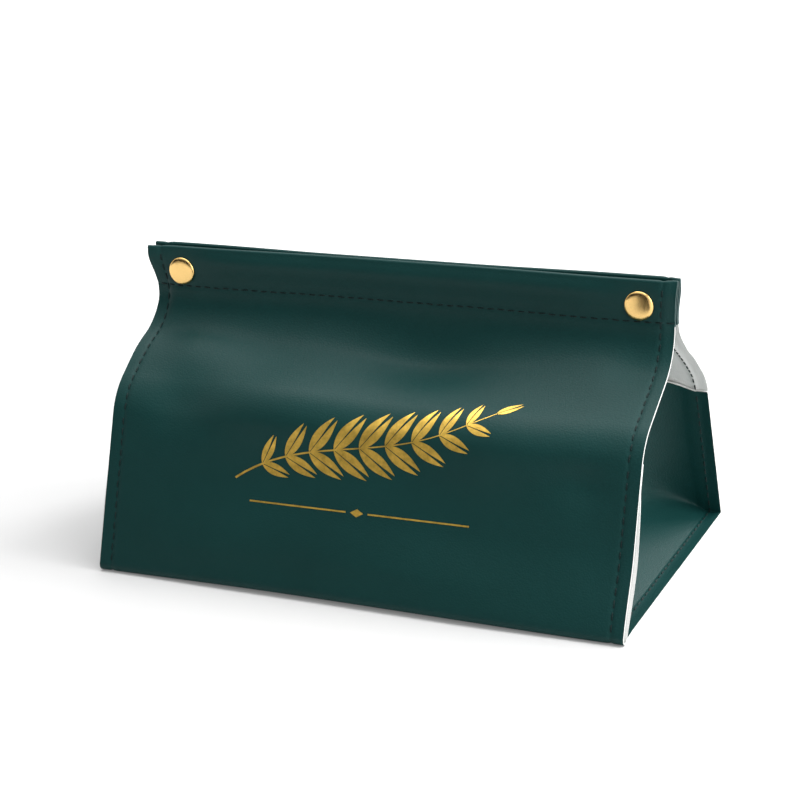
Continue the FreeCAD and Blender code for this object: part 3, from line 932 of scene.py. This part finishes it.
# Snap cap: radius and height above the hem's face of each point of its outline, in millimetres,
# from the middle of the face round the rolled rim and down the rivet post to its spread end
CAP_OUTLINE = [
    (0, 1.66), (1.6, 1.64), (3.2, 1.56), (4.5, 1.44), (5.3, 1.28), (5.85, 1.06), (6.15, 0.78), (6.25, 0.48),
    (6.12, 0.2), (5.75, 0.02), (5.2, 0.0), (1.0, 0.0), (1.0, -2.65), (1.3, -2.65), (1.3, -2.9), (1.15, -3.0),
    (0.55, -3.0), (0.5, -2.7), (0, -2.6),
]
TURNING_STEPS = 64


def turned_piece(name, outline):
    """A piece turned about the Y axis from an open outline."""
    deselect()
    bpy.ops.mesh.primitive_circle_add(vertices=len(outline), radius=1, fill_type="NOTHING")
    piece = bpy.context.object
    piece.name = name
    piece.data.name = name
    for vertex, (radius, height) in zip(piece.data.vertices, outline):
        vertex.co = (radius * MM, height * MM, 0)

    def open_outline():
        bpy.ops.mesh.select_all(action="DESELECT")
        bpy.ops.object.mode_set(mode="OBJECT")
        last = len(outline) - 1
        for edge in piece.data.edges:
            edge.select = set(edge.vertices) == {0, last}
        bpy.ops.object.mode_set(mode="EDIT")
        bpy.ops.mesh.delete(type="EDGE")

    def turn():
        bpy.ops.mesh.select_all(action="SELECT")
        bpy.ops.mesh.spin(steps=TURNING_STEPS, angle=2 * math.pi, center=(0, 0, 0), axis=(0, 1, 0))
        bpy.ops.mesh.select_all(action="SELECT")

    bpy.context.tool_settings.mesh_select_mode = (False, True, False)
    edit(piece, open_outline, turn, merge, outward)
    bpy.context.tool_settings.mesh_select_mode = (True, False, False)
    return piece


class COVER_OT_snap_caps(bpy.types.Operator):
    """Turn the four snap caps with their rivet posts"""

    bl_idname = "cover.snap_caps"
    bl_label = "Snap caps"

    def execute(self, context):
        for end, name in ENDS.items():
            for face, panel in FACES.items():
                piece = turned_piece(f"{name}_{panel}_snap_cap", CAP_OUTLINE)
                half_turn = Matrix.Rotation(math.pi if face == FRONT else 0, 4, "Z")
                piece.data.transform(Matrix.Translation((end * SNAP.x, face * HEM_FACE, SNAP.z)) @ half_turn)
                dress(piece, "gold_metal", metal_material())
                smooth(piece, 50)
                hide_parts(f"{name}_{panel}_cap")
                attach(piece, f"{panel}_flap")
        return {"FINISHED"}


class COVER_OT_snap_insides(bpy.types.Operator):
    """Finish the sockets, rings and studs that the frame brings"""

    bl_idname = "cover.snap_insides"
    bl_label = "Snap insides"

    def execute(self, context):
        for name in ENDS.values():
            for part in ("snap_socket", "socket_ring", "snap_stud"):
                dress(frame["nodes"][f"{name}_{part}"], "gold_metal", metal_material())
        return {"FINISHED"}


# Foil sprig: a stem with paired leaves over a ruled line, drawn on the flat panel in millimetres
# as distance along X and along the sheet from the bend line
STEM = [(-58, -22), (-24, 2), (14, -12), (56, 16)]
STEM_WIDTH = 0.9
LEAF_PLACES = [0.12, 0.22, 0.32, 0.42, 0.52, 0.62, 0.72, 0.82, 0.91]
LEAF_LENGTH = 19
LEAF_WIDTH = 5.2
LEAF_TURN = math.radians(42)
RIB_GAP = 0.28
RULE_AT = -31
RULE_WIDTH = 0.7
RULE_SPANS = [(-50, -5), (5, 50)]
FOIL_LIFT = 0.12 * MM
FOIL_THICKNESS = 0.03 * MM


def stem_at(share):
    """Place and direction on the stem's curve."""
    a, b, c, d = (Vector(point) for point in STEM)
    left = 1 - share
    place = a * left ** 3 + b * 3 * left ** 2 * share + c * 3 * left * share ** 2 + d * share ** 3
    way = (b - a) * left ** 2 + (c - b) * 2 * left * share + (d - c) * share ** 2
    return place, way.normalized()


def quarter_turn(way):
    return Vector((-way.y, way.x))


def on_stem(along, side):
    """A point of the stem, which tapers to its tip."""
    place, way = stem_at(along)
    taper = STEM_WIDTH * (1 - 0.65 * along)
    return place + quarter_turn(way) * (side - 0.5) * taper


def leaf_rule(root, way, length, width, half):
    """Half of a leaf, beside its bare middle rib."""
    def lay(along, side):
        bow = 0.16 * length * along * along * half
        edge = width * 0.5 * math.sin(math.pi * along ** 0.8) ** 0.9
        gap = RIB_GAP * (1 - along)
        across = half * (gap / 2 + side * max(edge - gap / 2, 0)) + 0.3 * bow
        return root + way * length * along + quarter_turn(way) * across
    return lay


def bar_rule(low, high, at, width):
    def lay(along, side):
        return Vector((low + (high - low) * along, at + (side - 0.5) * width))
    return lay


def lozenge_rule(at, half_long, half_high):
    def lay(along, side):
        reach = half_high * (1 - abs(2 * along - 1))
        return Vector(((2 * along - 1) * half_long, at + (2 * side - 1) * reach))
    return lay


class COVER_OT_foil(bpy.types.Operator):
    """Press the foil sprig on the front panel"""

    bl_idname = "cover.foil"
    bl_label = "Foil sprig"

    def execute(self, context):
        section = Section()
        bend = section.start["shoulder"]
        deselect()
        bpy.ops.mesh.primitive_grid_add(x_subdivisions=24, y_subdivisions=3, size=1, location=(0.5, 0.5, 0))
        strip = bpy.context.object
        bpy.ops.object.transform_apply(location=True, rotation=True, scale=True)
        flat_rules = [on_stem]
        for share in LEAF_PLACES:
            root, way = stem_at(share)
            size = 0.55 + 0.75 * math.sin(math.pi * min(1, share * 1.02)) ** 0.8
            for side in (-1, 1):
                turned = Matrix.Rotation(side * LEAF_TURN, 2) @ way
                flat_rules += [leaf_rule(root, turned, LEAF_LENGTH * size * 0.8, LEAF_WIDTH * size, half)
                               for half in (-1, 1)]
        tip, way = stem_at(1)
        flat_rules += [leaf_rule(tip, way, LEAF_LENGTH * 0.6, LEAF_WIDTH * 0.7, half) for half in (-1, 1)]
        flat_rules += [bar_rule(low, high, RULE_AT, RULE_WIDTH) for low, high in RULE_SPANS]
        flat_rules.append(lozenge_rule(RULE_AT, 3.0, 1.7))

        def pressed(flat_rule):
            def lay(along, side, up):
                spot = flat_rule(along, side) * MM
                return on_panel(section, FRONT, spot.x, bend + spot.y, -FOIL_LIFT)
            return lay

        piece = copies("foil_sprig", strip, [pressed(flat_rule) for flat_rule in flat_rules])
        bpy.data.objects.remove(strip)
        edit(piece, merge)
        apply_modifier(piece, "SOLIDIFY", thickness=FOIL_THICKNESS, offset=0)
        edit(piece, outward)
        dress(piece, "gold_metal", foil_material())
        smooth(piece)
        bend_with(piece, section)
        return {"FINISHED"}


# Stage: the camera's place by angles and distance; each lamp's place, target, width, depth and watts;
# the floor's glow near the cover and far from it; and each dark card's place, width and height
CAMERA_YAW = math.radians(24.003)
CAMERA_PITCH = math.radians(18.832)
CAMERA_ROLL = math.radians(-2.576)
CAMERA_DISTANCE = 0.957826
CAMERA_TARGET = Vector((-0.004597, 0, 0.066548))
CAMERA_LENS = 99.05
LAMPS = [
    ("overhead", (0.05, 0.28, 1.25), (0, 0, 0.08), 1.5, 1.2, 19.0),
    ("right_side", (1.25, 0.25, 0.95), (0.1, 0, 0.05), 0.8, 0.8, 17.0),
    ("right_fill", (1.5, -0.75, 0.6), (0.08, 0, 0.06), 0.9, 0.9, 9.0),
    ("back_right", (0.65, 1.0, 0.95), (0.11, 0, 0.03), 0.5, 0.5, 11.0),
]
AMBIENT = 0.3
FLOOR_SIZE = 12
FLOOR_COLOUR = (0.64, 0.64, 0.64, 1)
FLOOR_GLOW_NEAR = 0.12
FLOOR_GLOW_FAR = 1.0
GLOW_FROM = 0.25
GLOW_TO = 1.1
DARK_CARDS = [
    ("dark_flag", (-0.75, -1.55, 0.55), 3.0, 1.1),
    ("dark_patch", (0.075, -0.29, 0.01), 0.15, 0.2),
]


def lamp(name, place, target, wide, deep, watts):
    data = bpy.data.lights.new(name, "AREA")
    data.shape = "RECTANGLE"
    data.size = wide
    data.size_y = deep
    data.energy = watts
    light = bpy.data.objects.new(name, data)
    bpy.context.scene.collection.objects.link(light)
    light.location = place
    light.rotation_euler = (Vector(target) - Vector(place)).to_track_quat("-Z", "Y").to_euler()


def dark_card(name, place, wide, high):
    """A black card that faces the cover and shows only in its reflections."""
    deselect()
    bpy.ops.mesh.primitive_plane_add(size=1)
    card = bpy.context.object
    card.name = name
    facing = (Vector(place) - CAMERA_TARGET).to_track_quat("Z", "Y").to_matrix().to_4x4()
    card.data.transform(Matrix.Translation(place) @ facing @ Matrix.Diagonal((wide, high, 1, 1)))
    for ray in ("camera", "diffuse", "transmission", "volume_scatter", "shadow"):
        setattr(card, f"visible_{ray}", False)
    material, tree, shader = new_material("black_cloth")
    if tree:
        shader.inputs["Base Color"].default_value = (0.01, 0.01, 0.01, 1)
        shader.inputs["Roughness"].default_value = 1.0
    card.data.materials.append(material)


def seen_directly(tree):
    """1 for rays that show the background itself: camera, mirror-like and see-through ones."""
    path = add(tree, "ShaderNodeLightPath")
    either = maths(tree, "MAXIMUM", path.outputs["Is Camera Ray"], path.outputs["Is Glossy Ray"])
    return maths(tree, "MAXIMUM", either, path.outputs["Is Transmission Ray"])


def set_camera(scene):
    """Place the camera at the photograph's viewing angle."""
    flat = math.cos(CAMERA_PITCH)
    back = Vector((math.sin(CAMERA_YAW) * flat, -math.cos(CAMERA_YAW) * flat, math.sin(CAMERA_PITCH)))
    level = Vector((math.cos(CAMERA_YAW), math.sin(CAMERA_YAW), 0))
    upright = back.cross(level)
    right = level * math.cos(CAMERA_ROLL) + upright * math.sin(CAMERA_ROLL)
    up = upright * math.cos(CAMERA_ROLL) - level * math.sin(CAMERA_ROLL)
    data = bpy.data.cameras.new("camera")
    data.lens = CAMERA_LENS
    camera = bpy.data.objects.new("camera", data)
    scene.collection.objects.link(camera)
    camera.location = CAMERA_TARGET + back * CAMERA_DISTANCE
    camera.rotation_euler = Matrix((right, up, back)).transposed().to_euler()
    scene.camera = camera


def lay_floor():
    """Lay a pale floor that fades to white away from the cover."""
    deselect()
    bpy.ops.mesh.primitive_plane_add(size=FLOOR_SIZE, location=(0, 0, 0))
    floor = bpy.context.object
    floor.name = "floor"
    material, tree, shader = new_material("pale_floor")
    shader.inputs["Base Color"].default_value = FLOOR_COLOUR
    shader.inputs["Roughness"].default_value = 0.7
    shader.inputs["Specular IOR Level"].default_value = 0.1
    shader.inputs["Emission Color"].default_value = (1, 1, 1, 1)
    away = add(tree, "ShaderNodeVectorMath")
    away.operation = "LENGTH"
    tree.links.new(add(tree, "ShaderNodeTexCoord").outputs["Object"], away.inputs[0])
    glow = add(tree, "ShaderNodeMapRange", From_Min=GLOW_FROM, From_Max=GLOW_TO,
               To_Min=FLOOR_GLOW_NEAR, To_Max=FLOOR_GLOW_FAR)
    tree.links.new(away.outputs["Value"], glow.inputs["Value"])
    shown = maths(tree, "MULTIPLY", seen_directly(tree), glow.outputs["Result"])
    tree.links.new(shown, shader.inputs["Emission Strength"])
    floor.data.materials.append(material)


def light_room(scene):
    """Light the cover with lamps and a weak even glow, in front of a white background."""
    world = bpy.data.worlds.new("studio")
    scene.world = world
    world.use_nodes = True
    tree = world.node_tree
    background = tree.nodes["Background"]
    background.inputs["Color"].default_value = (1, 1, 1, 1)
    lit = maths(tree, "MULTIPLY", seen_directly(tree), 1 - AMBIENT)
    tree.links.new(maths(tree, "ADD", lit, AMBIENT), background.inputs["Strength"])
    for settings in LAMPS:
        lamp(*settings)


class COVER_OT_stage(bpy.types.Operator):
    """Set the camera, the pale floor and the soft light"""

    bl_idname = "cover.stage"
    bl_label = "Stage"

    def execute(self, context):
        context.scene.view_settings.view_transform = "Standard"
        set_camera(context.scene)
        lay_floor()
        for card in DARK_CARDS:
            dark_card(*card)
        light_room(context.scene)
        return {"FINISHED"}


class COVER_PT_sidebar(bpy.types.Panel):
    """Lists the steps that build the cover"""

    bl_label = "Tissue box cover"
    bl_idname = "COVER_PT_sidebar"
    bl_space_type = "VIEW_3D"
    bl_region_type = "UI"
    bl_category = "Tissue cover"

    def draw(self, context):
        for operator in OPERATORS:
            self.layout.operator(operator.bl_idname)
        for group in (context.scene.cover_sizes, context.scene.cover_colours):
            for name in group.__annotations__:
                self.layout.prop(group, name)


OPERATORS = [COVER_OT_stage, COVER_OT_panels, COVER_OT_gussets, COVER_OT_stitches, COVER_OT_snap_caps,
             COVER_OT_snap_insides, COVER_OT_foil]
CLASSES = [CoverSizes, CoverColours, *OPERATORS, COVER_PT_sidebar]


def register():
    for cls in CLASSES:
        bpy.utils.register_class(cls)
    bpy.types.Scene.cover_sizes = bpy.props.PointerProperty(type=CoverSizes)
    bpy.types.Scene.cover_colours = bpy.props.PointerProperty(type=CoverColours)


def unregister():
    del bpy.types.Scene.cover_colours
    del bpy.types.Scene.cover_sizes
    for cls in reversed(CLASSES):
        bpy.utils.unregister_class(cls)


def main():
    register()
    for operator in OPERATORS:
        group, name = operator.bl_idname.split(".")
        getattr(getattr(bpy.ops, group), name)()


if __name__ == "__main__":
    main()
